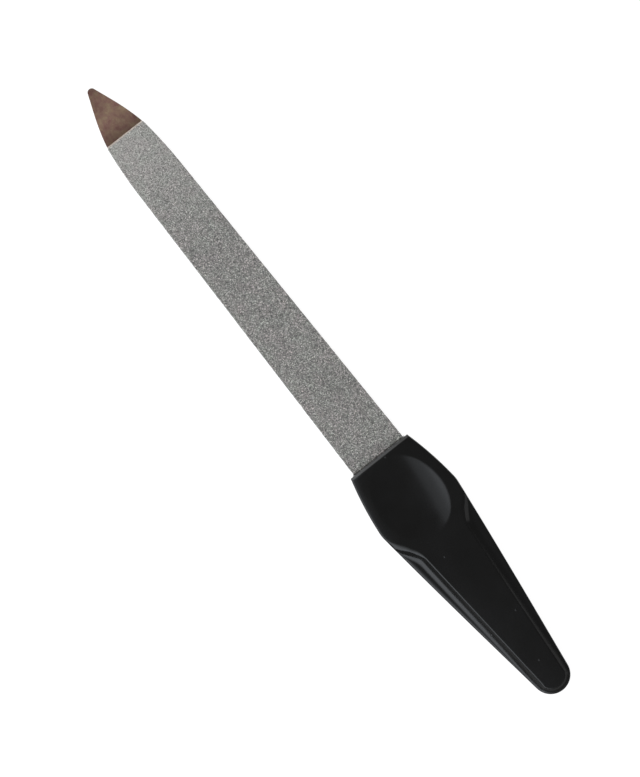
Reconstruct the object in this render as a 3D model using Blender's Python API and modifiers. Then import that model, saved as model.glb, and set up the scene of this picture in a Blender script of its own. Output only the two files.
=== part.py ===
"""Sapphire nail file: a steel blade with a bare cleaner tip, its two grit shells and a moulded handle.

The file lies flat. +X runs along it from the handle to the tip, +Y across it and +Z up, with the
origin on the surface that the handle lies on, below the middle of the whole length. Plan outlines
are written from the tip: "along" is the distance behind the tip and "across" the distance from the
centre line. Heights in a section are counted from the blade's middle plane.
"""

import math

import bmesh
import bpy

MM = 0.001

# Whole file
LENGTH = 150 * MM

# Steel blank, from the nose back
STEEL_THICKNESS = 0.9 * MM
STEEL_EDGE_BEVEL = 0.06 * MM
NOSE_RADIUS = 0.85 * MM
TIP_ANGLE = 21.1
TIP_SIDE = 4.12 * MM
FLANK_RADIUS = 48.6 * MM
FLANK_END_ANGLE = 13.45
SHOULDER_RADIUS = 3 * MM
SHOULDER_END_ANGLE = 6.47
SHOULDER_SIDE = 2.2 * MM
BELLY_RADIUS = 91.3 * MM
BODY_TAPER_ANGLE = 0.75
BODY_END = 95.5 * MM
TANG_SHOULDER = 1.6 * MM
TANG_FRONT_HALF_WIDTH = 3.8 * MM
TANG_BACK_HALF_WIDTH = 2.6 * MM
TANG_CORNER_RADIUS = 1.4 * MM
TANG_END = 136 * MM
LOCK_HOLE_ALONG = 124 * MM
LOCK_HOLE_RADIUS = 1.4 * MM

# Grit, one thin shell for each face, folded over the long edges
GRIT_START = 11.2 * MM
GRIT_END = 91.4 * MM
GRIT_THICKNESS = 0.15 * MM
GRIT_EDGE_THICKNESS = 0.07 * MM
GRIT_GAP = 0.05 * MM

# Handle in plan
HANDLE_FRONT = 91.75 * MM
FRONT_HALF_WIDTH = 7.065 * MM
FRONT_SPREAD_ANGLE = 15.55
FRONT_RADIUS = 68.5 * MM
HIP_START_ANGLE = 5.4
HIP_RADIUS = 7.5 * MM
SIDE_START_ANGLE = 6.75
SIDE_RADIUS = 1700 * MM
SIDE_END_ANGLE = 7.8
SIDE_LEAN_LENGTH = 6 * MM

# Handle in section, from the parting line up
HALF_THICKNESS = 3.1 * MM
THUMB_RIM_HEIGHT = 2.7 * MM
FOOT_RISE = 0.05 * MM
RIM_ROUND = 0.3 * MM
RIM_ROLL = 0.9 * MM
FOOT_ROUND = 0.6 * MM
WALL_ROUND = 1.1 * MM
WALL_OVER_FOOT = 3.5
WALL_SHARE = 0.8
THUMB_ROUND = 0.3 * MM
SHOULDER_ROLL = 0.6 * MM
PAD_ROUND = 0.18 * MM
SIDE_DRAFT = 0.03 * MM
LEAST_ROUND = 0.01 * MM

# The pad behind the thumb zone: its top edge and then its foot leave the outline and settle inside it,
# while the rim below them drops
TOP_LEAVES = 105.4 * MM
TOP_SETTLES = 113.9 * MM
RIM_SETTLES = 112.0 * MM
FOOT_LEAVES = 107.6 * MM
FOOT_SETTLES = 114.3 * MM
PAD_HALF_WIDTH = 5.09 * MM
PAD_TAPER_ANGLE = 4.61

# The pad's wall: its steepness is its rise over its width
WALL_RISE = 0.95 * MM
LEAST_FLANGE = 0.45 * MM
FRONT_STEEPNESS = 0.79
REAR_STEEPNESS = 0.875
REAR_BEGINS = 130 * MM

# Front of the handle: a chamfer and a tapered collar round the blade
CHAMFER_LENGTH = 0.6 * MM
CHAMFER_DROP = 0.28 * MM
COLLAR_LENGTH = 0.25 * MM
COLLAR_ROOT_DEPTH = 0.4 * MM
COLLAR_FRONT_HALF = (6.34 * MM, 0.95 * MM)
COLLAR_ROOT_HALF = (6.5 * MM, 2.5 * MM)

# Room inside the handle for the steel
MOUTH_GAP = 0.05 * MM
MOUTH_DEPTH = 1.2 * MM
POCKET_GAP = 0.3 * MM

# Thumb dish, one in each face, longer to the front than to the back
DISH_ALONG = 102.25 * MM
DISH_FRONT_LENGTH = 9.7 * MM
DISH_BACK_LENGTH = 8.45 * MM
DISH_HALF_WIDTH = 7.25 * MM
DISH_DEPTH = 0.75 * MM
DISH_LIP = 0.4 * MM

# Fineness of the facets
NOSE_STEP = 18.0
BODY_STEP = 1.1
FRONT_STEP = 1.8
HIP_STEP = 3.5
END_STEP = 9.0
LEAVING_PIECES = 14
REAR_PIECES = 6
STRAIGHT_PIECES = 3
ROUNDING_STEPS = (2, 4, 3)
DISH_STEPS = 48
DISH_RINGS = 7


def clear_scene():
    for thing in list(bpy.data.objects):
        bpy.data.objects.remove(thing, do_unlink=True)


def new_collection(name):
    collection = bpy.data.collections.new(name)
    bpy.context.scene.collection.children.link(collection)
    return collection


def principled(name, colour, roughness, metallic):
    material = bpy.data.materials.new(name)
    material.use_nodes = True
    shader = material.node_tree.nodes["Principled BSDF"]
    shader.inputs["Base Color"].default_value = (*colour, 1)
    shader.inputs["Roughness"].default_value = roughness
    shader.inputs["Metallic"].default_value = metallic
    return material


def mix(first, second, share):
    return first + (second - first) * share


def ease(value, start, end):
    """0 before start, 1 after end, and a smooth curve between them."""
    share = min(1.0, max(0.0, (value - start) / (end - start)))
    return share * share * (3 - 2 * share)


def unit(tip, tail):
    run, rise = tip[0] - tail[0], tip[1] - tail[1]
    length = math.hypot(run, rise)
    return run / length, rise / length


# Plan outlines


def walk(start, heading, moves):
    """Points (along, across, heading) of an outline.

    A move is a straight length, or (radius, new heading, largest step) for an arc.
    """
    along, across = start
    points = [(along, across, heading)]
    for move in moves:
        if not isinstance(move, tuple):
            along += move * math.cos(math.radians(heading))
            across += move * math.sin(math.radians(heading))
            points.append((along, across, heading))
            continue
        radius, target, step = move
        turn = target - heading
        side = math.copysign(radius, turn)
        pieces = max(1, math.ceil(abs(turn) / step))
        for _ in range(pieces):
            before = math.radians(heading)
            heading += turn / pieces
            after = math.radians(heading)
            along += side * (math.sin(after) - math.sin(before))
            across += side * (math.cos(before) - math.cos(after))
            points.append((along, across, heading))
    return points


def blade_side(grow=0.0):
    """One long side of the blade from its nose to the end of its body, moved out by grow."""
    moves = [
        (NOSE_RADIUS + grow, TIP_ANGLE, NOSE_STEP),
        TIP_SIDE,
        (FLANK_RADIUS + grow, FLANK_END_ANGLE, BODY_STEP * 2),
        (SHOULDER_RADIUS + grow, SHOULDER_END_ANGLE, BODY_STEP * 2),
        SHOULDER_SIDE,
        (BELLY_RADIUS + grow, BODY_TAPER_ANGLE, BODY_STEP),
    ]
    side = [(along, across) for along, across, _ in walk((-grow, 0.0), 90.0, moves)]
    along, across = side[-1]
    end = BODY_END + grow
    side.append((end, across + (end - along) * math.tan(math.radians(BODY_TAPER_ANGLE))))
    return side


def tang_side(grow=0.0):
    """One side of the tang, from behind the body's shoulder to its rounded back end."""
    start = (BODY_END + TANG_SHOULDER + grow, TANG_FRONT_HALF_WIDTH + grow)
    corner = (TANG_END - TANG_CORNER_RADIUS, TANG_BACK_HALF_WIDTH + grow)
    lean = math.degrees(math.atan2(corner[1] - start[1], corner[0] - start[0]))
    back = walk(corner, lean, [(TANG_CORNER_RADIUS + grow, -90.0, END_STEP * 2)])
    return [start, *[(along, across) for along, across, _ in back]]


def across_at(side, along):
    """Half-width of an outline at this distance along it."""
    for (a, b), (c, d) in zip(side, side[1:]):
        if a <= along <= c:
            return mix(b, d, (along - a) / (c - a))
    raise ValueError("the outline doesn't reach there")


def stretch(side, first, last):
    """The part of an outline between two distances along it."""
    inner = [point for point in side if first < point[0] < last]
    return [(first, across_at(side, first)), *inner, (last, across_at(side, last))]


def mirrored(side):
    """A closed plan outline from one side."""
    other = [(along, -across) for along, across in reversed(side) if across > 1e-9]
    return list(side) + other


# Solids


def link(name, mesh, collection):
    solid = bpy.data.objects.new(name, mesh)
    collection.objects.link(solid)
    solid.location.z = HALF_THICKNESS
    return solid


def slab(name, outline, low, high, collection):
    """A flat plate with this plan outline between two heights, made from a filled 2D curve."""
    curve = bpy.data.curves.new(name, "CURVE")
    curve.dimensions = "2D"
    curve.fill_mode = "BOTH"
    curve.extrude = (high - low) / 2
    spline = curve.splines.new("POLY")
    spline.points.add(len(outline) - 1)
    for point, (along, across) in zip(spline.points, outline):
        point.co = (LENGTH / 2 - along, across, 0, 1)
    spline.use_cyclic_u = True
    guide = bpy.data.objects.new(name + "_outline", curve)
    guide.location.z = (low + high) / 2
    collection.objects.link(guide)
    bpy.context.view_layer.update()
    graph = bpy.context.evaluated_depsgraph_get()
    mesh = bpy.data.meshes.new_from_object(guide.evaluated_get(graph))
    edit = bmesh.new()
    edit.from_mesh(mesh)
    bmesh.ops.transform(edit, matrix=guide.matrix_world, verts=edit.verts)
    bmesh.ops.remove_doubles(edit, verts=edit.verts, dist=1e-6)
    bmesh.ops.recalc_face_normals(edit, faces=edit.faces)
    edit.to_mesh(mesh)
    edit.free()
    bpy.data.objects.remove(guide, do_unlink=True)
    return link(name, mesh, collection)


def post(name, along, radius, half_height, collection):
    """An upright round bar through the middle plane."""
    edit = bmesh.new()
    bmesh.ops.create_cone(
        edit,
        cap_ends=True,
        segments=24,
        radius1=radius,
        radius2=radius,
        depth=2 * half_height,
    )
    bmesh.ops.translate(edit, verts=edit.verts, vec=(LENGTH / 2 - along, 0, 0))
    mesh = bpy.data.meshes.new(name)
    edit.to_mesh(mesh)
    edit.free()
    return link(name, mesh, collection)


def hide(solid):
    solid.hide_render = True
    solid.display_type = "WIRE"
    return solid


def combine(solid, operation, other, name):
    modifier = solid.modifiers.new(name, "BOOLEAN")
    modifier.operation = operation
    modifier.solver = "EXACT"
    modifier.object = hide(other)


def finish(solid, material):
    solid.data.materials.clear()
    solid.data.materials.append(material)
    solid.data.shade_smooth()
    solid.data.set_sharp_from_angle(angle=math.radians(35))


# Blade and grit


def make_blade(parts, cutters):
    half = STEEL_THICKNESS / 2
    blade = slab("blade", mirrored(blade_side() + tang_side()), -half, half, parts)
    hole = post("lock_hole", LOCK_HOLE_ALONG, LOCK_HOLE_RADIUS, 4 * half, cutters)
    combine(blade, "DIFFERENCE", hole, "lock hole")
    bevel = blade.modifiers.new("ground edges", "BEVEL")
    bevel.width = STEEL_EDGE_BEVEL
    bevel.segments = 1
    bevel.limit_method = "ANGLE"
    bevel.angle_limit = math.radians(50)
    finish(blade, principled("brown_polished_steel", (0.17, 0.105, 0.08), 0.28, 1.0))
    return blade


def make_grit(name, face, parts, cutters):
    """One grit shell: face is 1 for the upper and -1 for the lower."""
    inner = STEEL_THICKNESS / 2 + GRIT_GAP
    side = stretch(blade_side(GRIT_GAP + GRIT_EDGE_THICKNESS), GRIT_START, GRIT_END)
    low, high = sorted((face * GRIT_GAP / 2, face * (inner + GRIT_THICKNESS)))
    shell = slab(name, mirrored(side), low, high, parts)
    room = stretch(blade_side(GRIT_GAP), GRIT_START - MM, GRIT_END + MM)
    core = slab(name + "_core", mirrored(room), -inner, inner, cutters)
    combine(shell, "DIFFERENCE", core, "room for the steel")
    finish(shell, principled(name + "_sapphire", (0.26, 0.255, 0.245), 0.75, 0.25))
    return shell


# Handle


def handle_side():
    """One side of the handle's outline, from its front to its round end."""
    chamfer_turn = math.degrees(CHAMFER_LENGTH / FRONT_RADIUS)
    front = [
        (FRONT_RADIUS, FRONT_SPREAD_ANGLE - chamfer_turn, chamfer_turn),
        (FRONT_RADIUS, HIP_START_ANGLE, FRONT_STEP),
        (HIP_RADIUS, 0.0, HIP_STEP),
        (HIP_RADIUS, -SIDE_START_ANGLE, HIP_STEP),
    ]
    side = walk((HANDLE_FRONT, FRONT_HALF_WIDTH), FRONT_SPREAD_ANGLE, front)
    leaving = math.degrees((FOOT_SETTLES - side[-1][0]) / SIDE_RADIUS)
    rear = SIDE_END_ANGLE - SIDE_START_ANGLE - leaving
    taper = [
        (SIDE_RADIUS, -SIDE_START_ANGLE - leaving, leaving / LEAVING_PIECES),
        (SIDE_RADIUS, -SIDE_END_ANGLE, rear / REAR_PIECES),
    ]
    side = side[:-1] + walk(side[-1][:2], -SIDE_START_ANGLE, taper)
    along, across, _ = side[-1]
    slope = math.radians(SIDE_END_ANGLE)
    rest = LENGTH - along
    narrowing = (1 - math.sin(slope)) * math.tan(slope)
    end_radius = (across - rest * math.tan(slope)) / (math.cos(slope) - narrowing)
    straight = (rest - end_radius * (1 - math.sin(slope))) / math.cos(slope)
    end = [*[straight / STRAIGHT_PIECES] * STRAIGHT_PIECES, (end_radius, -90.0, END_STEP)]
    return side[:-1] + walk((along, across), -SIDE_END_ANGLE, end)


def section_corners(along, across, drop):
    """The section's corners at one station: inset from the outline, height, reach before and after."""
    top_share = ease(along, TOP_LEAVES, TOP_SETTLES)
    foot_share = ease(along, FOOT_LEAVES, FOOT_SETTLES)
    rear_share = min(1.0, max(0.0, (along - FOOT_SETTLES) / (REAR_BEGINS - FOOT_SETTLES)))
    steepness = mix(FRONT_STEEPNESS, REAR_STEEPNESS, rear_share)
    wall_width = WALL_RISE / steepness
    narrowing = (along - TOP_SETTLES) * math.tan(math.radians(PAD_TAPER_ANGLE))
    settled = max(across - PAD_HALF_WIDTH + narrowing, wall_width + 2 * SIDE_DRAFT)
    top = mix(3 * SIDE_DRAFT, settled, top_share)
    foot = mix(2 * SIDE_DRAFT, max(settled - wall_width, LEAST_FLANGE), foot_share)
    rise = min((top - foot) * steepness, WALL_RISE)
    rim_share = ease(along, TOP_LEAVES, RIM_SETTLES)
    rim = mix(THUMB_RIM_HEIGHT, HALF_THICKNESS - FOOT_RISE - rise, rim_share)
    flat = max((foot - SIDE_DRAFT) / 2, LEAST_ROUND)
    wall = math.hypot(top - foot, HALF_THICKNESS - drop - rim - FOOT_RISE)
    wall_reach = min(WALL_ROUND, WALL_OVER_FOOT * flat, WALL_SHARE * wall)
    top_reach = mix(THUMB_ROUND - drop, PAD_ROUND, top_share)
    top_reach += 4 * SHOULDER_ROLL * top_share * (1 - top_share)
    return [
        (0.0, 0.0, 0.0, 0.0),
        (SIDE_DRAFT, rim, RIM_ROUND, min(RIM_ROLL, flat)),
        (foot, rim + FOOT_RISE, min(FOOT_ROUND, flat), wall_reach),
        (top, HALF_THICKNESS - drop, min(top_reach, wall - wall_reach), top_reach),
    ]


def rounded(corners):
    """The section as points, with a curve of a few steps at each corner after the first."""
    last = corners[-1]
    corners = [*corners, (last[0] + LENGTH, last[1])]
    points = [corners[0][:2]]
    for before, corner, after, steps in zip(corners, corners[1:], corners[2:], ROUNDING_STEPS):
        back = unit(before, corner)
        ahead = unit(after, corner)
        for index in range(steps + 1):
            share = index / steps
            near = (1 - share) ** 2 * corner[2]
            far = share**2 * corner[3]
            points.append(
                (
                    corner[0] + back[0] * near + ahead[0] * far,
                    corner[1] + back[1] * near + ahead[1] * far,
                )
            )
    return points


def quarter_handle(parts):
    """A loft of unlike sections along one side: the quarter at +Y above the middle plane.

    It is open at both planes, and two Mirror modifiers make the whole handle from it.
    """
    edit = bmesh.new()
    rows = []
    for along, across, heading in handle_side():
        lean = math.radians(heading) * ease(along, HANDLE_FRONT, HANDLE_FRONT + SIDE_LEAN_LENGTH)
        drop = 0.0 if rows else CHAMFER_DROP
        row = []
        for inset, height in rounded(section_corners(along, across, drop)):
            x = LENGTH / 2 - along - inset * math.sin(lean)
            y = max(0.0, across - inset * math.cos(lean))
            row.append(edit.verts.new((x, y, height)))
        rows.append(row)
    for row, following in zip(rows, rows[1:]):
        for a, b, c, d in zip(row, row[1:], following[1:], following):
            edit.faces.new((a, b, c, d))
    front, behind = rows[0][-1].co, rows[1][-1].co
    front_low = edit.verts.new((front.x, 0, 0))
    front_top = edit.verts.new((front.x, 0, front.z))
    pad_front = edit.verts.new((behind.x, 0, behind.z))
    edit.faces.new((front_low, *rows[0], front_top))
    edit.faces.new((front_top, rows[0][-1], rows[1][-1], pad_front))
    edit.faces.new((pad_front, *[row[-1] for row in rows[1:]]))
    bmesh.ops.recalc_face_normals(edit, faces=edit.faces)
    mesh = bpy.data.meshes.new("handle")
    edit.to_mesh(mesh)
    edit.free()
    handle = link("handle", mesh, parts)
    for name, axes in (("far side", (False, True, False)), ("underside", (False, False, True))):
        mirror = handle.modifiers.new(name, "MIRROR")
        mirror.use_axis = axes
        mirror.use_mirror_merge = True
        mirror.merge_threshold = 0.00001
    return handle


def make_collar(cutters):
    """The tapered collar at the mouth, as a box whose front end is smaller than its root."""
    edit = bmesh.new()
    bmesh.ops.create_cube(edit, size=2)
    front = LENGTH / 2 - HANDLE_FRONT + COLLAR_LENGTH
    root = LENGTH / 2 - HANDLE_FRONT - COLLAR_ROOT_DEPTH
    for vertex in edit.verts:
        at_front = vertex.co.x > 0
        half_width, half_height = COLLAR_FRONT_HALF if at_front else COLLAR_ROOT_HALF
        vertex.co.x = front if at_front else root
        vertex.co.y *= half_width
        vertex.co.z *= half_height
    mesh = bpy.data.meshes.new("collar")
    edit.to_mesh(mesh)
    edit.free()
    return link("collar", mesh, cutters)


def make_dish(name, face, cutters):
    """A shallow oval bowl that cuts one face: a spun profile with unlike front and back halves."""
    slope = 2 * DISH_DEPTH / DISH_HALF_WIDTH
    rim = DISH_HALF_WIDTH + DISH_LIP / slope
    outline = [(0, DISH_LIP), (rim, DISH_LIP)]
    for index in range(DISH_RINGS, -1, -1):
        share = index / DISH_RINGS
        outline.append((share * DISH_HALF_WIDTH, -DISH_DEPTH * (1 - share**2)))
    edit = bmesh.new()
    points = [edit.verts.new((out, 0, face * (HALF_THICKNESS + height))) for out, height in outline]
    edges = [edit.edges.new(pair) for pair in zip(points, points[1:])]
    bmesh.ops.spin(
        edit,
        geom=points + edges,
        axis=(0, 0, 1),
        cent=(0, 0, 0),
        steps=DISH_STEPS,
        angle=2 * math.pi,
    )
    bmesh.ops.remove_doubles(edit, verts=edit.verts, dist=1e-6)
    for vertex in edit.verts:
        length = DISH_FRONT_LENGTH if vertex.co.x > 0 else DISH_BACK_LENGTH
        vertex.co.x = LENGTH / 2 - DISH_ALONG + vertex.co.x * length / DISH_HALF_WIDTH
    bmesh.ops.recalc_face_normals(edit, faces=edit.faces)
    mesh = bpy.data.meshes.new(name)
    edit.to_mesh(mesh)
    edit.free()
    return link(name, mesh, cutters)


def make_pocket(cutters):
    """The room for the tang, round the post that fills the tang's lock hole."""
    half = STEEL_THICKNESS / 2 + POCKET_GAP
    start = HANDLE_FRONT + MOUTH_DEPTH
    body = stretch(blade_side(POCKET_GAP), start, BODY_END + POCKET_GAP)
    pocket = slab("pocket", mirrored(body + tang_side(POCKET_GAP)), -half, half, cutters)
    radius = LOCK_HOLE_RADIUS - POCKET_GAP
    lock = post("lock_post", LOCK_HOLE_ALONG, radius, 2 * half, cutters)
    combine(pocket, "DIFFERENCE", lock, "lock post")
    return pocket


def make_mouth(cutters):
    """The close slot that the blade comes out of, through the collar into the pocket."""
    half = STEEL_THICKNESS / 2 + MOUTH_GAP
    start = HANDLE_FRONT - COLLAR_LENGTH - MM
    end = HANDLE_FRONT + MOUTH_DEPTH + POCKET_GAP
    slot = stretch(blade_side(MOUTH_GAP), start, end)
    return slab("mouth", mirrored(slot), -half, half, cutters)


def make_handle(parts, cutters):
    handle = quarter_handle(parts)
    combine(handle, "UNION", make_collar(cutters), "collar")
    combine(handle, "DIFFERENCE", make_pocket(cutters), "tang pocket")
    combine(handle, "DIFFERENCE", make_mouth(cutters), "mouth")
    combine(handle, "DIFFERENCE", make_dish("upper_dish", 1, cutters), "upper dish")
    combine(handle, "DIFFERENCE", make_dish("lower_dish", -1, cutters), "lower dish")
    finish(handle, principled("black_gloss_plastic", (0.012, 0.012, 0.012), 0.22, 0.0))
    return handle


def main():
    clear_scene()
    parts = new_collection("sapphire_nail_file")
    cutters = new_collection("cutters")
    whole = bpy.data.objects.new("nail_file", None)
    parts.objects.link(whole)
    pieces = [
        make_blade(parts, cutters),
        make_grit("grit_front", 1, parts, cutters),
        make_grit("grit_back", -1, parts, cutters),
        make_handle(parts, cutters),
    ]
    for piece in pieces:
        piece.parent = whole


main()
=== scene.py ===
# The looks of the sapphire nail file: bare steel tip, two grit coats and a black moulded handle.
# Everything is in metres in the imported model's frame. +X runs to the tip and +Z is up.
# "Along" is the distance behind the tip and "across" the distance from the centre line.

import math

import bmesh
import bpy
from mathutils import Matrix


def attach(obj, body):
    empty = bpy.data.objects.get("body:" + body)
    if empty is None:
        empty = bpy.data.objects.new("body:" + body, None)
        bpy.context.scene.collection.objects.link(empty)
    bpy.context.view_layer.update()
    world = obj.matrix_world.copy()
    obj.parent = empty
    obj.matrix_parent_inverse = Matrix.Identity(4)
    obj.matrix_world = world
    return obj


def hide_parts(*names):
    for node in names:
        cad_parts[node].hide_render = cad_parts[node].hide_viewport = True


mm = 0.001
tiny = 0.001 * mm  # welds points, and keeps a sum from dividing by zero

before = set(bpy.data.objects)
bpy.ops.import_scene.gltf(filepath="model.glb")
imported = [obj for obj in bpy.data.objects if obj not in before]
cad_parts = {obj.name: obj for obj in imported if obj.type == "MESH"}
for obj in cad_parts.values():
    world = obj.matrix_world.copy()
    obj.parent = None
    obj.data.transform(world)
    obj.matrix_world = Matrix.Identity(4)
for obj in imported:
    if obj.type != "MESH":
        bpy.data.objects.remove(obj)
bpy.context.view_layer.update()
print("frame loaded:", ", ".join(sorted(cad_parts)))

whole = {
    "length": 150 * mm,
    "middleHeight": 3.1 * mm,  # the blade's middle plane above the floor
}


# Node trees


class Number:
    # A number in a node tree. Its sums place Math nodes.
    def __init__(self, tree, socket):
        self.tree = tree
        self.socket = socket

    def math(self, operation, *others):
        node = self.tree.nodes.new("ShaderNodeMath")
        node.operation = operation
        for index, value in enumerate((self, *others)):
            plug(self.tree, value, node.inputs[index])
        return Number(self.tree, node.outputs[0])

    def __add__(self, other):
        return self.math("ADD", other)

    def __sub__(self, other):
        return self.math("SUBTRACT", other)

    def __rsub__(self, other):
        return (self * -1) + other

    def __mul__(self, other):
        return self.math("MULTIPLY", other)

    def __truediv__(self, other):
        return self.math("DIVIDE", other)

    __radd__ = __add__
    __rmul__ = __mul__

    def atLeast(self, other):
        return self.math("MAXIMUM", other)

    def atMost(self, other):
        return self.math("MINIMUM", other)

    def ramp(self, start, end, shape="LINEAR"):
        # 0 before start, 1 after end
        values = {"Value": self, "From Min": start, "From Max": end}
        node = place(self.tree, "ShaderNodeMapRange", values, interpolation_type=shape)
        return Number(self.tree, node.outputs["Result"])

    def towards(self, other, share):
        return self + (other - self) * share


def plug(tree, value, socket):
    # Links a socket or sets a plain value
    if isinstance(value, Number):
        value = value.socket
    if isinstance(value, bpy.types.NodeSocket):
        tree.links.new(value, socket)
    else:
        socket.default_value = value


def place(tree, kind, values=None, **settings):
    node = tree.nodes.new(kind)
    for setting, value in settings.items():
        setattr(node, setting, value)
    for name, value in (values or {}).items():
        plug(tree, value, node.inputs[name])
    return node


def vectorMath(tree, operation, *values):
    node = place(tree, "ShaderNodeVectorMath", operation=operation)
    for index, value in enumerate(values):
        plug(tree, value, node.inputs["Scale" if isinstance(value, Number) else index])
    return node.outputs["Value" if operation == "LENGTH" else "Vector"]


def vector(tree, x=0.0, y=0.0, z=0.0):
    return place(tree, "ShaderNodeCombineXYZ", {"X": x, "Y": y, "Z": z}).outputs[0]


def parts(tree, spot):
    # The three numbers of a vector
    node = place(tree, "ShaderNodeSeparateXYZ", {0: spot})
    return [Number(tree, output) for output in node.outputs]


def mixResult(node):
    # The Mix node's output of the kind in use
    return next(socket for socket in node.outputs if socket.enabled)


def startTree(name, sizes):
    # A geometry tree with a named input for each size, and its Number for each
    tree = bpy.data.node_groups.new(name, "GeometryNodeTree")
    tree.interface.new_socket("Geometry", in_out="INPUT", socket_type="NodeSocketGeometry")
    tree.interface.new_socket("Geometry", in_out="OUTPUT", socket_type="NodeSocketGeometry")
    for size, value in sizes.items():
        kind = "NodeSocketInt" if isinstance(value, int) else "NodeSocketFloat"
        tree.interface.new_socket(size, in_out="INPUT", socket_type=kind)
    start = tree.nodes.new("NodeGroupInput")
    numbers = {size: Number(tree, start.outputs[size]) for size in sizes}
    return tree, start.outputs["Geometry"], numbers


def runTree(name, base, tree, sizes):
    # What the tree makes of the base, as a plain mesh
    guide = bpy.data.objects.new(name + "Guide", base)
    bpy.context.scene.collection.objects.link(guide)
    modifier = guide.modifiers.new(tree.name, "NODES")
    modifier.node_group = tree
    for socket in tree.interface.items_tree:
        if socket.in_out == "INPUT" and socket.name in sizes:
            modifier[socket.identifier] = sizes[socket.name]
    bpy.context.view_layer.update()
    graph = bpy.context.evaluated_depsgraph_get()
    mesh = bpy.data.meshes.new_from_object(guide.evaluated_get(graph))
    guide.modifiers.remove(modifier)
    bpy.data.objects.remove(guide, do_unlink=True)
    mesh.name = name
    return mesh


def editedMesh(name, edit):
    mesh = bpy.data.meshes.new(name)
    edit.to_mesh(mesh)
    edit.free()
    return mesh


def addPiece(name, mesh, node):
    piece = bpy.data.objects.new(name, mesh)
    bpy.context.scene.collection.objects.link(piece)
    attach(piece, "root")
    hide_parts(node)
    print(name, "made with", sum(len(face.vertices) - 2 for face in mesh.polygons), "triangles")


# Plan outlines


def walk(start, heading, moves):
    # Points (along, across) of an outline. A move is a straight length, or
    # (radius, new heading, largest step) for an arc.
    along, across = start
    points = [(along, across)]
    for move in moves:
        if not isinstance(move, tuple):
            along += move * math.cos(math.radians(heading))
            across += move * math.sin(math.radians(heading))
            points.append((along, across))
            continue
        radius, target, step = move
        turn = target - heading
        side = math.copysign(radius, turn)
        pieces = max(1, math.ceil(abs(turn) / step))
        for _ in range(pieces):
            before = math.radians(heading)
            heading += turn / pieces
            after = math.radians(heading)
            along += side * (math.sin(after) - math.sin(before))
            across += side * (math.cos(before) - math.cos(after))
            points.append((along, across))
    return points


def acrossAt(side, along):
    for (fromAlong, fromAcross), (toAlong, toAcross) in zip(side, side[1:]):
        if fromAlong <= along <= toAlong:
            return fromAcross + (toAcross - fromAcross) * (along - fromAlong) / (toAlong - fromAlong)
    raise ValueError("the outline doesn't reach there")


# Steel blade

blade = {
    "thickness": 0.9 * mm,
    "edgeBevel": 0.015 * mm,
    "bevelSegments": 3,
    "bevelProfile": 0.6,
    "noseRadius": 0.85 * mm,
    "tipAngle": 21.1,
    "tipSide": 4.12 * mm,
    "flankRadius": 48.6 * mm,
    "flankEndAngle": 13.45,
    "shoulderRadius": 3 * mm,
    "shoulderEndAngle": 6.47,
    "shoulderSide": 2.2 * mm,
    "bellyRadius": 91.3 * mm,
    "bodyTaperAngle": 0.75,
    "bodyEnd": 95.5 * mm,
    "tangShoulder": 1.6 * mm,
    "tangFrontHalf": 3.8 * mm,
    "tangBackHalf": 2.6 * mm,
    "tangCornerRadius": 1.4 * mm,
    "tangEnd": 136 * mm,
    "noseStep": 6.0,  # the most that one step of an arc turns, in degrees
    "bodyStep": 0.5,
    "tangStep": 10.0,
}


def bladeSide():
    # One side of the blade in front of its tang
    moves = [
        (blade["noseRadius"], blade["tipAngle"], blade["noseStep"]),
        blade["tipSide"],
        (blade["flankRadius"], blade["flankEndAngle"], blade["bodyStep"]),
        (blade["shoulderRadius"], blade["shoulderEndAngle"], blade["bodyStep"] * 2),
        blade["shoulderSide"],
        (blade["bellyRadius"], blade["bodyTaperAngle"], blade["bodyStep"]),
    ]
    side = walk((0.0, 0.0), 90.0, moves)
    along, across = side[-1]
    end = blade["bodyEnd"]
    side.append((end, across + (end - along) * math.tan(math.radians(blade["bodyTaperAngle"]))))
    return side


def makeBlade(finish):
    start = (blade["bodyEnd"] + blade["tangShoulder"], blade["tangFrontHalf"])
    corner = (blade["tangEnd"] - blade["tangCornerRadius"], blade["tangBackHalf"])
    lean = math.degrees(math.atan2(corner[1] - start[1], corner[0] - start[0]))
    turn = (blade["tangCornerRadius"], -90.0, blade["tangStep"])
    side = bladeSide() + [start, *walk(corner, lean, [turn])]
    plan = side + [(along, -across) for along, across in reversed(side) if across > tiny]
    edit = bmesh.new()
    low = whole["middleHeight"] - blade["thickness"] / 2
    base = [edit.verts.new((whole["length"] / 2 - along, across, low)) for along, across in plan]
    face = edit.faces.new(base)
    top = bmesh.ops.extrude_face_region(edit, geom=[face])["geom"]
    raised = [part for part in top if isinstance(part, bmesh.types.BMVert)]
    bmesh.ops.translate(edit, verts=raised, vec=(0, 0, blade["thickness"]))
    bmesh.ops.recalc_face_normals(edit, faces=edit.faces)
    rims = [edge for edge in edit.edges if abs(edge.verts[0].co.z - edge.verts[1].co.z) < tiny]
    bmesh.ops.bevel(
        edit,
        geom=rims,
        offset=blade["edgeBevel"],
        segments=blade["bevelSegments"],
        affect="EDGES",
        profile=blade["bevelProfile"],
    )
    mesh = editedMesh("steelBlade", edit)
    mesh.materials.append(finish)
    mesh.shade_smooth()
    for skin in mesh.polygons:
        if abs(skin.normal.z) > 0.999:  # the two ground faces stay flat
            skin.use_smooth = False
    addPiece("steelBlade", mesh, "blade")


# Grit coats

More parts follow.
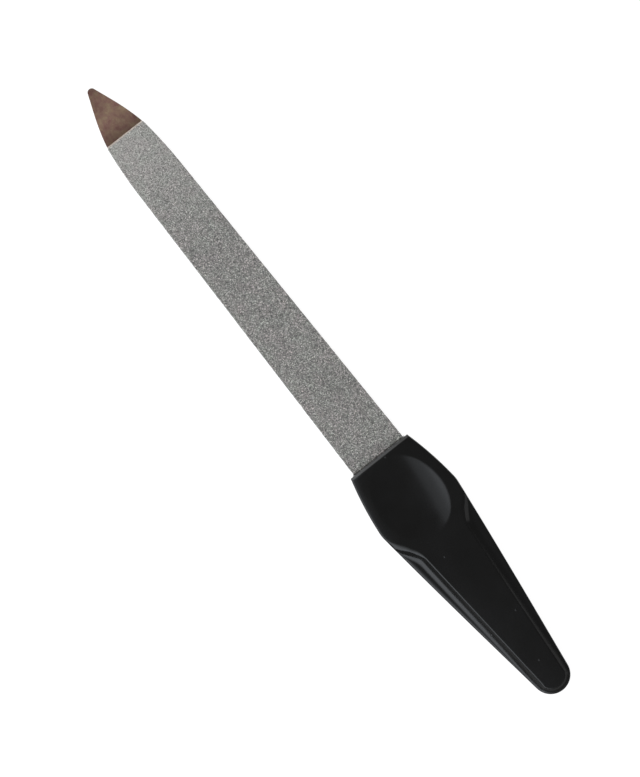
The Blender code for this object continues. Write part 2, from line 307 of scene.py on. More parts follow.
grit = {
    "start": 11.2 * mm,
    "end": 91.45 * mm,
    "lip": 0.36 * mm,  # the smooth edge of the plating at the front
    "lipRise": 0.2 * mm,  # the length over which it reaches the full thickness
    "lipThinning": 0.5,  # the share of the thickness that it lacks at its start
    "bareShare": 0.8,  # the share of the lip that carries no grains
    "gap": 0.02 * mm,  # between the steel and the plating
    "parting": 0.01 * mm,  # between a coat's edge and the middle plane
    "faceThickness": 0.13 * mm,
    "edgeThickness": 0.02 * mm,
    "foldRound": 0.1 * mm,
    "foldSteps": 4,
    "station": 0.5 * mm,
    "columns": 24,
}

grain = {
    "spacing": 0.148 * mm,
    "mostPerSquareMetre": 4e8,
    "sides": 4,
    "size": 0.155 * mm,
    "foot": 0.7,  # the foot's radius, as a share of the size
    "smallest": 0.65,
    "largest": 1.35,
    "tilt": 0.7,  # the most that a grain leans each way, in radians
    "sink": 0.045 * mm,
    "seed": 11,
}


def coatSection(half, face):
    # One closed section of a coat, full width: over the outside, then back along the inside
    inner = blade["thickness"] / 2 + grit["gap"]
    outer = inner + grit["faceThickness"]
    room = half + grit["gap"]
    wide = room + grit["edgeThickness"]
    bend = grit["foldRound"]
    turn = [(wide, grit["parting"])]
    for index in range(grit["foldSteps"] + 1):
        angle = math.radians(90 * index / grit["foldSteps"])
        turn.append((wide - bend + bend * math.cos(angle), outer - bend + bend * math.sin(angle)))
    flat = turn[-1][0]
    count = grit["columns"]
    top = [(flat - 2 * flat * index / count, outer) for index in range(1, count)]
    outside = turn + top + [(-across, height) for across, height in reversed(turn)]
    inside = [(-room, grit["parting"]), (-room, inner), (room, inner), (room, grit["parting"])]
    section = [(across, face * height) for across, height in outside + inside]
    return section, len(outside)


def coatBase(name, face):
    # The plating without grains. The faces that carry them are marked.
    side = bladeSide()
    start = grit["start"]
    count = round((grit["end"] - start - grit["lip"]) / grit["station"])
    step = (grit["end"] - start - grit["lip"]) / count
    stations = [start, start + grit["lipRise"], start + grit["lip"] * grit["bareShare"]]
    bareStrips = len(stations) - 1
    stations += [start + grit["lip"] + step * index for index in range(count + 1)]
    inner = blade["thickness"] / 2 + grit["gap"]
    edit = bmesh.new()
    carries = edit.faces.layers.bool.new("carriesGrains")
    rows = []
    for index, along in enumerate(stations):
        section, outside = coatSection(acrossAt(side, along), face)
        row = []
        for across, height in section:
            if index == 0 and abs(height) > inner:
                height -= face * grit["faceThickness"] * grit["lipThinning"]
            x = whole["length"] / 2 - along
            row.append(edit.verts.new((x, across, whole["middleHeight"] + height)))
        rows.append(row)
    for index, (row, following) in enumerate(zip(rows, rows[1:])):
        for column in range(len(row)):
            after = (column + 1) % len(row)
            skin = edit.faces.new((row[column], row[after], following[after], following[column]))
            skin[carries] = index >= bareStrips and column < outside - 1
            skin.material_index = 0 if index >= bareStrips else 1
    for row in (rows[0], rows[-1]):
        edit.faces.new(row).material_index = 1
    bmesh.ops.recalc_face_normals(edit, faces=edit.faces)
    return editedMesh(name, edit)


def buildGrainTree(finish):
    tree, skin, size = startTree("sapphireGrains", grain)

    def draw(low, high, order):
        # A random number for each grain
        values = {2: low, 3: high, "Seed": size["seed"] + order}
        return place(tree, "FunctionNodeRandomValue", values, data_type="FLOAT").outputs[1]

    marked = place(tree, "GeometryNodeInputNamedAttribute", {"Name": "carriesGrains"}, data_type="BOOLEAN")
    points = place(
        tree,
        "GeometryNodeDistributePointsOnFaces",
        {
            "Mesh": skin,
            "Distance Min": size["spacing"],
            "Density Max": size["mostPerSquareMetre"],
            "Selection": marked.outputs["Attribute"],
            "Seed": size["seed"],
        },
        distribute_method="POISSON",
    )
    shard = place(
        tree,
        "GeometryNodeMeshCone",
        {
            "Vertices": size["sides"],
            "Radius Top": 0.0,
            "Radius Bottom": size["size"] * size["foot"],
            "Depth": size["size"],
        },
    ).outputs["Mesh"]
    drop = vector(tree, z=size["sink"] * -1)
    sunk = place(tree, "GeometryNodeTransform", {"Geometry": shard, "Translation": drop}).outputs["Geometry"]
    stood = place(
        tree,
        "GeometryNodeInstanceOnPoints",
        {
            "Points": points.outputs["Points"],
            "Instance": sunk,
            "Rotation": points.outputs["Rotation"],
        },
    ).outputs["Instances"]
    low = vector(tree, size["tilt"] * -1, size["tilt"] * -1)
    high = vector(tree, size["tilt"], size["tilt"], 2 * math.pi)
    lean = place(
        tree,
        "FunctionNodeRandomValue",
        {"Min": low, "Max": high, "Seed": size["seed"] + 1},
        data_type="FLOAT_VECTOR",
    ).outputs["Value"]
    tilted = place(
        tree, "GeometryNodeRotateInstances", {"Instances": stood, "Rotation": lean}
    ).outputs["Instances"]
    scale = draw(size["smallest"], size["largest"], 2)
    scaled = place(
        tree, "GeometryNodeScaleInstances", {"Instances": tilted, "Scale": scale}
    ).outputs["Instances"]
    toned = place(
        tree,
        "GeometryNodeStoreNamedAttribute",
        {"Geometry": scaled, "Name": "grainTone", "Value": draw(0.0, 1.0, 3)},
        data_type="FLOAT",
        domain="INSTANCE",
    ).outputs["Geometry"]
    real = place(tree, "GeometryNodeRealizeInstances", {"Geometry": toned}).outputs["Geometry"]
    dressed = place(tree, "GeometryNodeSetMaterial", {"Geometry": real, "Material": finish})
    both = place(tree, "GeometryNodeJoinGeometry")
    tree.links.new(dressed.outputs["Geometry"], both.inputs["Geometry"])
    tree.links.new(skin, both.inputs["Geometry"])
    end = tree.nodes.new("NodeGroupOutput")
    tree.links.new(both.outputs["Geometry"], end.inputs["Geometry"])
    return tree


def makeGrit(name, face, node, finishes):
    bond, lip, sapphire = finishes
    base = coatBase(name + "Base", face)
    for finish in (bond, lip, sapphire):
        base.materials.append(finish)
    mesh = runTree(name, base, buildGrainTree(sapphire), grain)
    addPiece(name, mesh, node)


# Handle

outline = {
    "front": 91.75 * mm,
    "frontHalfWidth": 7.065 * mm,
    "frontAngle": 15.55,
    "frontRadius": 68.5 * mm,
    "hipStartAngle": 5.4,
    "hipRadius": 7.5 * mm,
    "sideStartAngle": -6.75,
    "sideRadius": 1700 * mm,
    "sideEndAngle": -7.8,
    "hipStep": 0.5,  # the most that one step of an arc turns, in degrees
    "sideStep": 0.05,
    "endStep": 3.0,
}

handle = {
    "halfLength": whole["length"] / 2,
    "front": outline["front"],
    "leanLength": 6 * mm,
    "halfThickness": whole["middleHeight"],
    "thumbRimHeight": 2.7 * mm,
    "footRise": 0.05 * mm,  # of the rim's flat, from its edge to the pad's foot
    "rimRound": 0.3 * mm,
    "rimRoll": 0.9 * mm,  # how far the rim's round runs inwards
    "footRound": 0.6 * mm,
    "wallRound": 1.1 * mm,  # how far the foot's curve climbs the wall
    "wallOverFoot": 3.5,  # and its most, over the foot's own reach where the rim is narrow
    "wallShare": 0.8,  # and over the wall's length
    "thumbRound": 0.3 * mm,
    "shoulderRoll": 0.6 * mm,  # more round on the top edge while it leaves the outline
    "padRound": 0.18 * mm,
    "sideDraft": 0.03 * mm,
    "inward": 10 * mm,  # gives the top face's direction only
    "crown": 0.065,  # share of the height that the thumb zone loses at its edges
    "topLeaves": 105.4 * mm,
    "topSettles": 113.9 * mm,
    "rimSettles": 112.0 * mm,
    "footLeaves": 107.6 * mm,
    "footSettles": 114.3 * mm,
    "padHalfWidth": 5.09 * mm,
    "padTaper": math.tan(math.radians(4.61)),
    "wallRise": 0.95 * mm,
    "leastFlange": 0.45 * mm,
    "leastFlat": 0.01 * mm,
    "frontSteepness": 0.79,  # the wall's rise over its width, behind the thumb zone
    "rearSteepness": 0.875,
    "rearBegins": 130 * mm,
    "chamferLength": 0.6 * mm,
    "chamferDrop": 0.28 * mm,
    "collarLength": 0.25 * mm,
    "collarFrontWidth": 6.34 * mm,
    "collarFrontHeight": 0.95 * mm,
    "collarRootWidth": 6.5 * mm,
    "collarRootHeight": 2.5 * mm,
    "mouthWidth": 6.07 * mm,
    "mouthHeight": 0.5 * mm,
    "mouthDepth": 1.2 * mm,
    "dishAlong": 102.25 * mm,
    "dishFrontLength": 9.7 * mm,
    "dishBackLength": 8.45 * mm,
    "dishHalfWidth": 7.25 * mm,
    "dishDepth": 0.75 * mm,
    "dishLip": 0.06 * mm,
    "stations": 270,
    "noseRows": 5,
    "chamferRows": 3,
    "rimSteps": 5,
    "footSteps": 8,
    "topSteps": 14,
    "flatSteps": 34,
}


def handleSide():
    # One side of the handle's outline, from its front to its round end
    start = (outline["front"], outline["frontHalfWidth"])
    arcs = [
        (outline["frontRadius"], outline["hipStartAngle"], outline["hipStep"]),
        (outline["hipRadius"], outline["sideStartAngle"], outline["hipStep"]),
        (outline["sideRadius"], outline["sideEndAngle"], outline["sideStep"]),
    ]
    side = walk(start, outline["frontAngle"], arcs)
    along, across = side[-1]
    slope = math.radians(-outline["sideEndAngle"])
    rest = whole["length"] - along
    narrowing = (1 - math.sin(slope)) * math.tan(slope)
    endRadius = (across - rest * math.tan(slope)) / (math.cos(slope) - narrowing)
    straight = (rest - endRadius * (1 - math.sin(slope))) / math.cos(slope)
    moves = [straight, (endRadius, -90.0, outline["endStep"])]
    return side[:-1] + walk(side[-1], outline["sideEndAngle"], moves)


def handleGuide():
    points = handleSide()
    mesh = bpy.data.meshes.new("handleSide")
    places = [(whole["length"] / 2 - along, across, 0) for along, across in points]
    mesh.from_pydata(places, [(index, index + 1) for index in range(len(points) - 1)], [])
    return mesh


def roundedCorner(tree, before, corner, after, reach, share):
    # A quadratic curve that takes the place of one corner. The reach is its length on each side.
    back = vectorMath(tree, "NORMALIZE", vectorMath(tree, "SUBTRACT", before, corner))
    ahead = vectorMath(tree, "NORMALIZE", vectorMath(tree, "SUBTRACT", after, corner))
    near = vectorMath(tree, "SCALE", back, reach[0] * (1 - share) * (1 - share))
    far = vectorMath(tree, "SCALE", ahead, reach[1] * share * share)
    return vectorMath(tree, "ADD", corner, vectorMath(tree, "ADD", near, far))


def buildHandleTree(finish):
    tree, guide, size = startTree("handleMoulding", handle)

    def pick(index, options):
        # The option at this index
        node = place(tree, "GeometryNodeIndexSwitch", {"Index": index}, data_type="VECTOR")
        for _ in options[2:]:
            node.index_switch_items.new()
        for number, option in enumerate(options):
            tree.links.new(option, node.inputs[number + 1])
        return node.outputs[0]

    side = place(tree, "GeometryNodeMeshToCurve", {"Mesh": guide}).outputs[0]
    total = Number(tree, place(tree, "GeometryNodeCurveLength", {"Curve": side}).outputs[0])

    # A grid with a row for each station and a column for each point of the section
    columns = size["rimSteps"] + size["footSteps"] + size["topSteps"] + size["flatSteps"] + 4
    rows = size["stations"] + size["noseRows"]
    grid = place(
        tree,
        "GeometryNodeMeshGrid",
        {"Size X": rows - 1, "Size Y": columns - 1, "Vertices X": rows, "Vertices Y": columns},
    ).outputs["Mesh"]
    gridX, gridY, _ = parts(tree, place(tree, "GeometryNodeInputPosition").outputs[0])
    row = (gridX + (rows - 1) / 2).math("ROUND")
    column = (gridY + (columns - 1) / 2).math("ROUND")

    # Stations along the side, a few of them on the chamfer
    station = (row - size["noseRows"]).atLeast(0)
    chamferShare = (station / size["chamferRows"]).atMost(1)
    restShare = (station - size["chamferRows"]).atLeast(0) / (size["stations"] - 1 - size["chamferRows"])
    reached = size["chamferLength"] * chamferShare + (total - size["chamferLength"]) * restShare
    sample = place(tree, "GeometryNodeSampleCurve", {"Curves": side, "Length": reached}, mode="LENGTH")
    x, across, _ = parts(tree, sample.outputs["Position"])
    headingX, headingY, _ = parts(tree, sample.outputs["Tangent"])
    along = size["halfLength"] - x
    turn = headingY.math("ARCTAN2", headingX * -1)
    lean = turn * along.ramp(size["front"], size["front"] + size["leanLength"], "SMOOTHSTEP")

    # The section's corners at this station, as inset and height
    topShare = along.ramp(size["topLeaves"], size["topSettles"], "SMOOTHSTEP")
    footShare = along.ramp(size["footLeaves"], size["footSettles"], "SMOOTHSTEP")
    rearShare = along.ramp(size["footSettles"], size["rearBegins"])
    steepness = size["frontSteepness"].towards(size["rearSteepness"], rearShare)
    wallWidth = size["wallRise"] / steepness
    narrowing = (along - size["topSettles"]) * size["padTaper"]
    settled = (across - size["padHalfWidth"] + narrowing).atLeast(wallWidth + size["sideDraft"] * 2)
    topInset = (size["sideDraft"] * 3).towards(settled, topShare)
    settledFoot = (settled - wallWidth).atLeast(size["leastFlange"])
    footInset = (size["sideDraft"] * 2).towards(settledFoot, footShare)
    rise = ((topInset - footInset) * steepness).atMost(size["wallRise"])
    rimShare = along.ramp(size["topLeaves"], size["rimSettles"], "SMOOTHSTEP")
    rimHeight = size["thumbRimHeight"].towards(size["halfThickness"] - size["footRise"] - rise, rimShare)
    flat = ((footInset - size["sideDraft"]) * 0.5).atLeast(size["leastFlat"])
    drop = size["chamferDrop"] * (1 - (along - size["front"]) / size["chamferLength"]).atLeast(0)
    face = size["halfThickness"] - drop
    base = vector(tree)
    rim = vector(tree, size["sideDraft"], rimHeight)
    foot = vector(tree, footInset, rimHeight + size["footRise"])
    top = vector(tree, topInset, face)
    inner = vector(tree, topInset + size["inward"], face)
    wallLength = Number(tree, vectorMath(tree, "LENGTH", vectorMath(tree, "SUBTRACT", top, foot)))
    wallReach = size["wallRound"].atMost(flat * size["wallOverFoot"]).atMost(wallLength * size["wallShare"])
    rimReach = (size["rimRound"], size["rimRoll"].atMost(flat))
    footReach = (size["footRound"].atMost(flat), wallReach)
    topRound = (size["thumbRound"] - drop).towards(size["padRound"], topShare)
    topRound = topRound + size["shoulderRoll"] * topShare * (1 - topShare) * 4
    topReach = (topRound.atMost(wallLength - wallReach), topRound)

    # Each column takes its place on one corner's curve
    rimEnd = size["rimSteps"] + 1
    footEnd = rimEnd + size["footSteps"] + 1
    topEnd = footEnd + size["topSteps"] + 1
    curves = [
        base,
        roundedCorner(tree, base, rim, foot, rimReach, column.ramp(1, rimEnd)),
        roundedCorner(tree, rim, foot, top, footReach, column.ramp(rimEnd + 1, footEnd)),
        roundedCorner(tree, foot, top, inner, topReach, column.ramp(footEnd + 1, topEnd)),
    ]
    zone = column.math("GREATER_THAN", 0.5)
    zone = zone + column.math("GREATER_THAN", rimEnd + 0.5) + column.math("GREATER_THAN", footEnd + 0.5)
    inset, height, _ = parts(tree, pick(zone, curves))
    flatShare = column.ramp(topEnd, columns - 1)
    planX = x - inset * lean.math("SINE")
    planY = (across - inset * lean.math("COSINE")).atLeast(0) * (1 - flatShare)

    # The thumb zone's crown, and its dish with a softened lip
    outward = planY / across.atLeast(tiny)
    height = height * (1 - size["crown"] * (1 - topShare) * outward * outward * outward * outward)
    behind = size["halfLength"] - planX - size["dishAlong"]
    dishX = behind.atLeast(0) / size["dishBackLength"] + behind.atMost(0) / size["dishFrontLength"]
    dishY = planY / size["dishHalfWidth"]
    bowl = size["halfThickness"] - size["dishDepth"] * (1 - dishX * dishX - dishY * dishY)
    height = height.math("SMOOTH_MIN", bowl, size["dishLip"])

    # The nose: the first rows run out of the front face round the collar and into the mouth
    reachOut = (planY / size["collarRootWidth"]).atLeast(height / size["collarRootHeight"]).atLeast(tiny)
    squareY = planY / size["collarRootWidth"] / reachOut
    squareZ = height / size["collarRootHeight"] / reachOut
    front = size["halfLength"] - size["front"]
    depth = front - size["mouthDepth"]
    tip = front + size["collarLength"]
    noseRows = [
        vector(tree, depth),
        vector(tree, depth, size["mouthWidth"], size["mouthHeight"]),
        vector(tree, tip, size["mouthWidth"], size["mouthHeight"]),
        vector(tree, tip, size["collarFrontWidth"], size["collarFrontHeight"]),
        vector(tree, front, size["collarRootWidth"], size["collarRootHeight"]),
    ]
    noseX, noseWidth, noseTall = parts(tree, pick(row, noseRows))
    noseSpot = vector(tree, noseX, squareY * noseWidth, squareZ * noseTall)
    sideSpot = vector(tree, planX, planY, height)
    isNose = row.math("LESS_THAN", size["noseRows"] - 0.5)
    spots = place(
        tree, "ShaderNodeMix", {"Factor": isNose, "A": sideSpot, "B": noseSpot}, data_type="VECTOR"
    )
    moved = {"Geometry": grid, "Position": mixResult(spots)}
    quarter = place(tree, "GeometryNodeSetPosition", moved).outputs[0]

    # The quarter is mirrored across the centre line and then across the middle plane
    half = mirrored(tree, quarter, (1, -1, 1))
    solid = mirrored(tree, half, (1, 1, -1))
    welded = place(tree, "GeometryNodeMergeByDistance", {"Geometry": solid, "Distance": tiny}).outputs[0]
    lift = vector(tree, z=size["halfThickness"])
    lifted = place(tree, "GeometryNodeTransform", {"Geometry": welded, "Translation": lift}).outputs[0]
    real = place(tree, "GeometryNodeRealizeInstances", {"Geometry": lifted}).outputs[0]
    dressed = place(tree, "GeometryNodeSetMaterial", {"Geometry": real, "Material": finish}).outputs[0]
    end = tree.nodes.new("NodeGroupOutput")
    tree.links.new(dressed, end.inputs["Geometry"])
    return tree


def mirrored(tree, geometry, scale):
    other = place(tree, "GeometryNodeTransform", {"Geometry": geometry, "Scale": scale}).outputs[0]
    turned = place(tree, "GeometryNodeFlipFaces", {"Mesh": other}).outputs[0]
    both = place(tree, "GeometryNodeJoinGeometry")
    tree.links.new(geometry, both.inputs[0])
    tree.links.new(turned, both.inputs[0])
    return both.outputs[0]


def makeHandle(finish):
    mesh = runTree("mouldedHandle", handleGuide(), buildHandleTree(finish), handle)
    mesh.shade_smooth()
    crispAngle = math.radians(38)  # edges that turn further stay crisp
    mesh.set_sharp_from_angle(angle=crispAngle)
    addPiece("mouldedHandle", mesh, "handle")


# Finishes


def startFinish(name):
    material = bpy.data.materials.new(name)
    material.use_nodes = True
    tree = material.node_tree
    shader = tree.nodes["Principled BSDF"]
    coordinates = tree.nodes.new("ShaderNodeTexCoord").outputs["Object"]
    return material, tree, shader, coordinates


def noise(tree, coordinates, size, detail, roughness, stretch=None):
    # Noise whose blots are about this big
    if stretch:
        coordinates = place(
            tree, "ShaderNodeMapping", {"Vector": coordinates, "Scale": stretch}
        ).outputs["Vector"]
    values = {"Vector": coordinates, "Scale": 1 / size, "Detail": detail, "Roughness": roughness}
    return Number(tree, place(tree, "ShaderNodeTexNoise", values).outputs[0])


def colours(tree, share, stops):
    ramp = place(tree, "ShaderNodeValToRGB", {"Fac": share})
    while len(ramp.color_ramp.elements) < len(stops):
        ramp.color_ramp.elements.new(0.5)
    for element, (position, colour) in zip(ramp.color_ramp.elements, stops):
        element.position = position
        element.color = (*colour, 1)
    return ramp.outputs["Color"]


def bump(tree, shader, height, distance, strength=1.0):
    node = place(tree, "ShaderNodeBump", {"Height": height, "Distance": distance, "Strength": strength})
    tree.links.new(node.outputs["Normal"], shader.inputs["Normal"])


def alongTheFile(tree, spot):
    # The distance behind the tip
    return whole["length"] / 2 - parts(tree, spot)[0]


steelLook = {
    "blots": 1.7 * mm,
    "drifts": 3.4 * mm,
    "noseLength": 5.7 * mm,  # the darker nose
    "noseShade": 0.3,
    "rearStart": 7.2 * mm,  # behind here the steel darkens towards the plating
    "rearEnd": 11 * mm,
    "rearShade": 0.44,
    "streaks": 0.5 * mm,
    "streakStretch": (0.12, 1, 1),
    "streakHeight": 0.003 * mm,
    "smoothest": 0.34,
    "roughening": 0.1,
}


def steelFinish():
    # Browned unevenly, and darker at the nose and where the plating begins
    material, tree, shader, spot = startFinish("brownPolishedSteel")
    look = steelLook
    tints = colours(
        tree,
        noise(tree, spot, look["blots"], 4.0, 0.65),
        [
            (0.38, (0.242, 0.138, 0.108)),
            (0.47, (0.288, 0.174, 0.134)),
            (0.53, (0.297, 0.187, 0.132)),
            (0.62, (0.34, 0.227, 0.159)),
        ],
    )
    hue = colours(
        tree,
        noise(tree, spot, look["drifts"], 3.0, 0.6),
        [(0.4, (1.025, 0.97, 1.0)), (0.5, (1.0, 1.0, 1.0)), (0.6, (0.985, 1.015, 0.965))],
    )
    along = alongTheFile(tree, spot)
    nose = along.ramp(0, look["noseLength"]) * look["noseShade"] + (1 - look["noseShade"])
    rear = 1 - along.ramp(look["rearStart"], look["rearEnd"]) * look["rearShade"]
    browned = vectorMath(tree, "SCALE", vectorMath(tree, "MULTIPLY", tints, hue), nose * rear)
    plug(tree, browned, shader.inputs["Base Color"])
    shader.inputs["Metallic"].default_value = 1.0
    streaks = noise(tree, spot, look["streaks"], 2.0, 0.5, look["streakStretch"])
    plug(tree, look["smoothest"] + streaks * look["roughening"], shader.inputs["Roughness"])
    bump(tree, shader, streaks, look["streakHeight"], 0.5)
    return material


coatLook = {
    "paintedLightStart": 8 * mm,  # painted light: the paler stretch behind the bare tip fades from here
    "paintedLightEnd": 42 * mm,  # to here
    "bondPaintedLight": 0.5,
    "bondFineness": 0.2 * mm,
    "bondHeight": 0.05 * mm,
    "lipFineness": 0.4 * mm,
    "lipHeight": 0.01 * mm,
    "paintedLightTone": 0.7,  # the tone that the grains near the tip draw towards, as painted light
    "paintedLightEvenness": 0.5,
    "drifts": 3 * mm,
    "grainFineness": 0.06 * mm,
    "grainSmoothest": 0.5,
    "grainRoughening": 0.3,
    "grainRefractiveIndex": 1.77,
}


def paintedTipLight(tree, spot):
    # The share of painted light on the coat: 1 where the coat begins, behind the bare tip, and 0 on its long
    # rest
    return 1 - alongTheFile(tree, spot).ramp(coatLook["paintedLightStart"], coatLook["paintedLightEnd"], "SMOOTHSTEP")


def bondFinish():
    material, tree, shader, spot = startFinish("nickelBond")
    fine = noise(tree, spot, coatLook["bondFineness"], 3.0, 0.6)
    tints = colours(tree, fine, [(0.3, (0.07, 0.067, 0.061)), (0.7, (0.395, 0.376, 0.346))])
    # Painted light: the bond is made paler behind the bare tip, as if lit more strongly there
    pale = paintedTipLight(tree, spot) * coatLook["bondPaintedLight"] + 1
    plug(tree, vectorMath(tree, "SCALE", tints, pale), shader.inputs["Base Color"])
    shader.inputs["Metallic"].default_value = 0.2
    shader.inputs["Roughness"].default_value = 0.65
    bump(tree, shader, fine, coatLook["bondHeight"], 0.8)
    return material


def lipFinish():
    material, tree, shader, spot = startFinish("brightNickelEdge")
    fine = noise(tree, spot, coatLook["lipFineness"], 2.0, 0.5)
    tints = colours(tree, fine, [(0.3, (0.347, 0.295, 0.252)), (0.7, (0.465, 0.398, 0.34))])
    plug(tree, tints, shader.inputs["Base Color"])
    shader.inputs["Metallic"].default_value = 0.3
    shader.inputs["Roughness"].default_value = 0.5
    bump(tree, shader, fine, coatLook["lipHeight"], 0.5)
    return material


def grainFinish():
    # Each grain has its own tone, with faint green and pink drifts over many grains.
    # Behind the bare tip the tones are painted paler and more alike: painted light, not the grains' own
    # colour.
    material, tree, shader, spot = startFinish("sapphireGrain")
    tone = Number(tree, place(tree, "ShaderNodeAttribute", attribute_name="grainTone").outputs["Fac"])
    # Painted light: near the tip the tones are drawn towards one pale tone
    tone = tone.towards(coatLook["paintedLightTone"], paintedTipLight(tree, spot) * coatLook["paintedLightEvenness"])
    tints = colours(
        tree,
        tone,
        [
            (0.0, (0.0115, 0.011, 0.0105)),
            (0.25, (0.11, 0.106, 0.098)),
            (0.75, (0.477, 0.456, 0.423)),
            (1.0, (0.84, 0.805, 0.745)),
        ],
    )
    drift = colours(
        tree,
        noise(tree, spot, coatLook["drifts"], 3.0, 0.6),
        [(0.38, (0.95, 1.0, 0.96)), (0.5, (1.0, 0.997, 0.985)), (0.62, (1.04, 0.975, 0.995))],
    )
    plug(tree, vectorMath(tree, "MULTIPLY", tints, drift), shader.inputs["Base Color"])
    fine = noise(tree, spot, coatLook["grainFineness"], 1.0, 0.5)
    rough = coatLook["grainSmoothest"] + fine * coatLook["grainRoughening"]
    plug(tree, rough, shader.inputs["Roughness"])
    shader.inputs["IOR"].default_value = coatLook["grainRefractiveIndex"]
    return material


plasticLook = {
    "clouds": 5 * mm,
    "smoothest": 0.12,
    "cloudRoughening": 0.06,
    "dullStart": 116 * mm,
    "dullEnd": 132 * mm,
    "dulling": 0.075,
    "refractiveIndex": 1.36,
    "ripples": 1.1 * mm,
    "rippleHeight": 0.002 * mm,
    "crownStart": 110 * mm,
    "crownEnd": 122 * mm,
    "crownFlatness": 200 * mm,  # more of it makes the pad's crown flatter
    "speckSpacing": 2.4 * mm,
    "speckRadius": 0.25 * mm,
    "speckHeight": 0.065 * mm,
    "speckRarity": 0.6,  # more of it leaves fewer specks
}


def plasticFinish():
    # Glossy, with a few tiny specks, and a little duller towards the round end.
    # The pad's face shades as if faintly crowned.
    material, tree, shader, spot = startFinish("blackGlossPlastic")
    look = plasticLook
    along = alongTheFile(tree, spot)
    cloud = noise(tree, spot, look["clouds"], 3.0, 0.6)
    tints = colours(tree, cloud, [(0.3, (0.0055, 0.0053, 0.005)), (0.7, (0.007, 0.0068, 0.0066))])
    plug(tree, tints, shader.inputs["Base Color"])
    dull = along.ramp(look["dullStart"], look["dullEnd"]) * look["dulling"]
    rough = look["smoothest"] + cloud * look["cloudRoughening"] + dull
    plug(tree, rough, shader.inputs["Roughness"])
    shader.inputs["IOR"].default_value = look["refractiveIndex"]
    ripples = noise(tree, spot, look["ripples"], 2.0, 0.5) * look["rippleHeight"]
    halfWidth = handle["padHalfWidth"] - (along - handle["topSettles"]) * handle["padTaper"]
    across = parts(tree, spot)[1].math("ABSOLUTE").atMost(halfWidth)
    crown = across * across * along.ramp(look["crownStart"], look["crownEnd"]) / look["crownFlatness"]
    cells = place(tree, "ShaderNodeTexVoronoi", {"Vector": spot, "Scale": 1 / look["speckSpacing"]})
    slope = look["speckSpacing"] / look["speckRadius"]
    speck = (1 - Number(tree, cells.outputs["Distance"]) * slope).atLeast(0)
    rare = Number(tree, cells.outputs["Color"]).math("GREATER_THAN", look["speckRarity"])
    relief = ripples - crown + speck * rare * look["speckHeight"]
    bump(tree, shader, relief, 1.0)  # the relief is already in metres
    return material


# Camera, floor and light

view = {
    "lens": 400.0,
    "sensor": 36.0,
    "heightShown": 152.41 * mm,
    "turn": math.radians(-128.26),
    "right": -1.169 * mm,  # the picture's middle, from the file's middle
    "up": 0.192 * mm,
    "near": 0.05,
    "far": 30.0,
}

studio = {
    "world": 0.2,
    "daylight": (0.945, 1.0, 1.07),  # the colour of the lamps that lie flat above
    "floorFlat": 5.0,
    "coveRadius": 1.0,  # of the curve at the floor's edge
    "coveSteps": 9,
    "floorSides": 64,
    "floorOwnLight": 0.97,
    "floorShade": 0.15,
    "paperGrain": 4 * mm,
}

# Lamps as the camera sees them: right, up and height of the middle, then width, length and radiance
lamps = {
    "nearStrip": {"at": (-0.168, 0.025, 0.6), "size": (0.081, 1.4), "radiance": 0.85, "turn": 27.0},
    "middleStrip": {"at": (-0.258, -0.021, 0.6), "size": (0.12, 1.4), "radiance": 1.92, "turn": 27.0},
    "leftPanel": {"at": (-0.618, -0.277, 0.6), "size": (0.755, 1.53), "radiance": 3.1, "turn": 27.0},
    "lowLeft": {"at": (-1.37, -0.85, 0.4), "size": (0.24, 0.5), "radiance": 0.4},
    "rightPanel": {"at": (0.957, 0.083, 0.36), "size": (0.3, 0.3), "radiance": 0.67},
    "endPanel": {"at": (0.266, -0.338, 0.4), "size": (0.5, 0.3), "radiance": 0.35},
    "tipPanel": {"at": (-0.25, 0.32, 0.35), "size": (0.28, 0.22), "radiance": 2.2},
}


def inWorld(right, up, height):
    # A place as the camera sees it, in the model's frame
    cosine = math.cos(view["turn"])
    sine = math.sin(view["turn"])
    return (right * cosine - up * sine, right * sine + up * cosine, height)


def addCamera():
    lens = bpy.data.cameras.new("photoCamera")
    lens.lens = view["lens"]
    lens.sensor_width = view["sensor"]
    distance = view["heightShown"] * view["lens"] / view["sensor"]
    camera = bpy.data.objects.new("photoCamera", lens)
    camera.location = inWorld(view["right"], view["up"], whole["middleHeight"] + distance)
    camera.rotation_euler = (0, 0, view["turn"])
    lens.clip_start = view["near"]
    lens.clip_end = view["far"]
    bpy.context.scene.collection.objects.link(camera)
    bpy.context.scene.camera = camera


def addLamps():
    for name, lamp in lamps.items():
        wide, long = lamp["size"]
        light = bpy.data.lights.new(name, "AREA")
        light.shape = "RECTANGLE"
        light.size = wide
        light.size_y = long
        light.energy = lamp["radiance"] * wide * long * math.pi
        panel = bpy.data.objects.new(name, light)
        panel.location = inWorld(*lamp["at"])
        if "turn" in lamp:  # it lies flat above the object
            light.color = studio["daylight"]
            panel.rotation_euler = (0, 0, view["turn"] + math.radians(lamp["turn"]))
        else:
            aim = -panel.location
            panel.rotation_euler = aim.to_track_quat("-Z", "Y").to_euler()
        panel.visible_camera = False
        bpy.context.scene.collection.objects.link(panel)


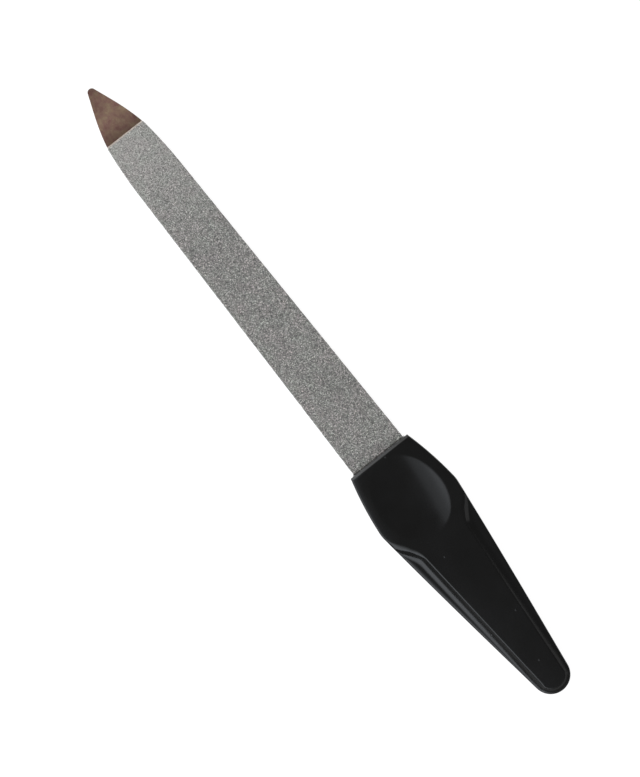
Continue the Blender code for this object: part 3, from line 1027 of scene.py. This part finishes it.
def addFloor():
    # A round floor that curves up at its edge, so that every view has a pale ground
    flat, radius = studio["floorFlat"], studio["coveRadius"]
    profile = [(0.0, 0.0), (flat, 0.0)]
    for index in range(1, studio["coveSteps"] + 1):
        angle = math.radians(90 * index / studio["coveSteps"])
        profile.append((flat + radius * math.sin(angle), radius * (1.0 - math.cos(angle))))
    edit = bmesh.new()
    points = [edit.verts.new((out, 0, height)) for out, height in profile]
    edges = [edit.edges.new(pair) for pair in zip(points, points[1:])]
    bmesh.ops.spin(
        edit,
        geom=points + edges,
        axis=(0, 0, 1),
        cent=(0, 0, 0),
        steps=studio["floorSides"],
        angle=2 * math.pi,
    )
    bmesh.ops.remove_doubles(edit, verts=edit.verts, dist=10 * tiny)
    bmesh.ops.recalc_face_normals(edit, faces=edit.faces)
    bmesh.ops.reverse_faces(edit, faces=edit.faces)
    mesh = editedMesh("paleFloor", edit)
    mesh.shade_smooth()
    floor = bpy.data.objects.new("paleFloor", mesh)
    bpy.context.scene.collection.objects.link(floor)
    mesh.materials.append(floorFinish())


def floorFinish():
    # Pale paper. The camera and reflections see it glow to white, over dim paper that keeps a faint shadow.
    material = bpy.data.materials.new("palePaper")
    material.use_nodes = True
    tree = material.node_tree
    tree.nodes.clear()
    spot = tree.nodes.new("ShaderNodeTexCoord").outputs["Object"]
    grainy = noise(tree, spot, studio["paperGrain"], 3.0, 0.5)
    tone = colours(tree, grainy, [(0.3, (0.8, 0.8, 0.8)), (0.7, (0.84, 0.84, 0.84))])
    paper = place(tree, "ShaderNodeBsdfDiffuse", {"Color": tone}).outputs[0]
    dim = place(tree, "ShaderNodeBsdfDiffuse", {"Color": (studio["floorShade"],) * 3 + (1,)}).outputs[0]
    glow = place(tree, "ShaderNodeEmission", {"Strength": studio["floorOwnLight"]}).outputs[0]
    lit = tree.nodes.new("ShaderNodeAddShader")
    tree.links.new(dim, lit.inputs[0])
    tree.links.new(glow, lit.inputs[1])
    path = tree.nodes.new("ShaderNodeLightPath")
    seen = Number(tree, path.outputs["Is Camera Ray"]).atLeast(Number(tree, path.outputs["Is Glossy Ray"]))
    seen = seen.atLeast(Number(tree, path.outputs["Is Transmission Ray"]))
    both = tree.nodes.new("ShaderNodeMixShader")
    tree.links.new(seen.socket, both.inputs[0])
    tree.links.new(paper, both.inputs[1])
    tree.links.new(lit.outputs[0], both.inputs[2])
    end = tree.nodes.new("ShaderNodeOutputMaterial")
    tree.links.new(both.outputs[0], end.inputs["Surface"])
    return material


def addWorld():
    world = bpy.data.worlds.new("softWorld")
    world.use_nodes = True
    ground = world.node_tree.nodes["Background"]
    ground.inputs["Color"].default_value = (1, 1, 1, 1)
    ground.inputs["Strength"].default_value = studio["world"]
    bpy.context.scene.world = world


addCamera()
addLamps()
addFloor()
addWorld()
bpy.context.scene.view_settings.view_transform = "Standard"
print("camera, lamps and floor placed")

makeBlade(steelFinish())
coatFinishes = [bondFinish(), lipFinish(), grainFinish()]
makeGrit("gritFront", 1, "grit_front", coatFinishes)
makeGrit("gritBack", -1, "grit_back", coatFinishes)
makeHandle(plasticFinish())
print("pieces made")
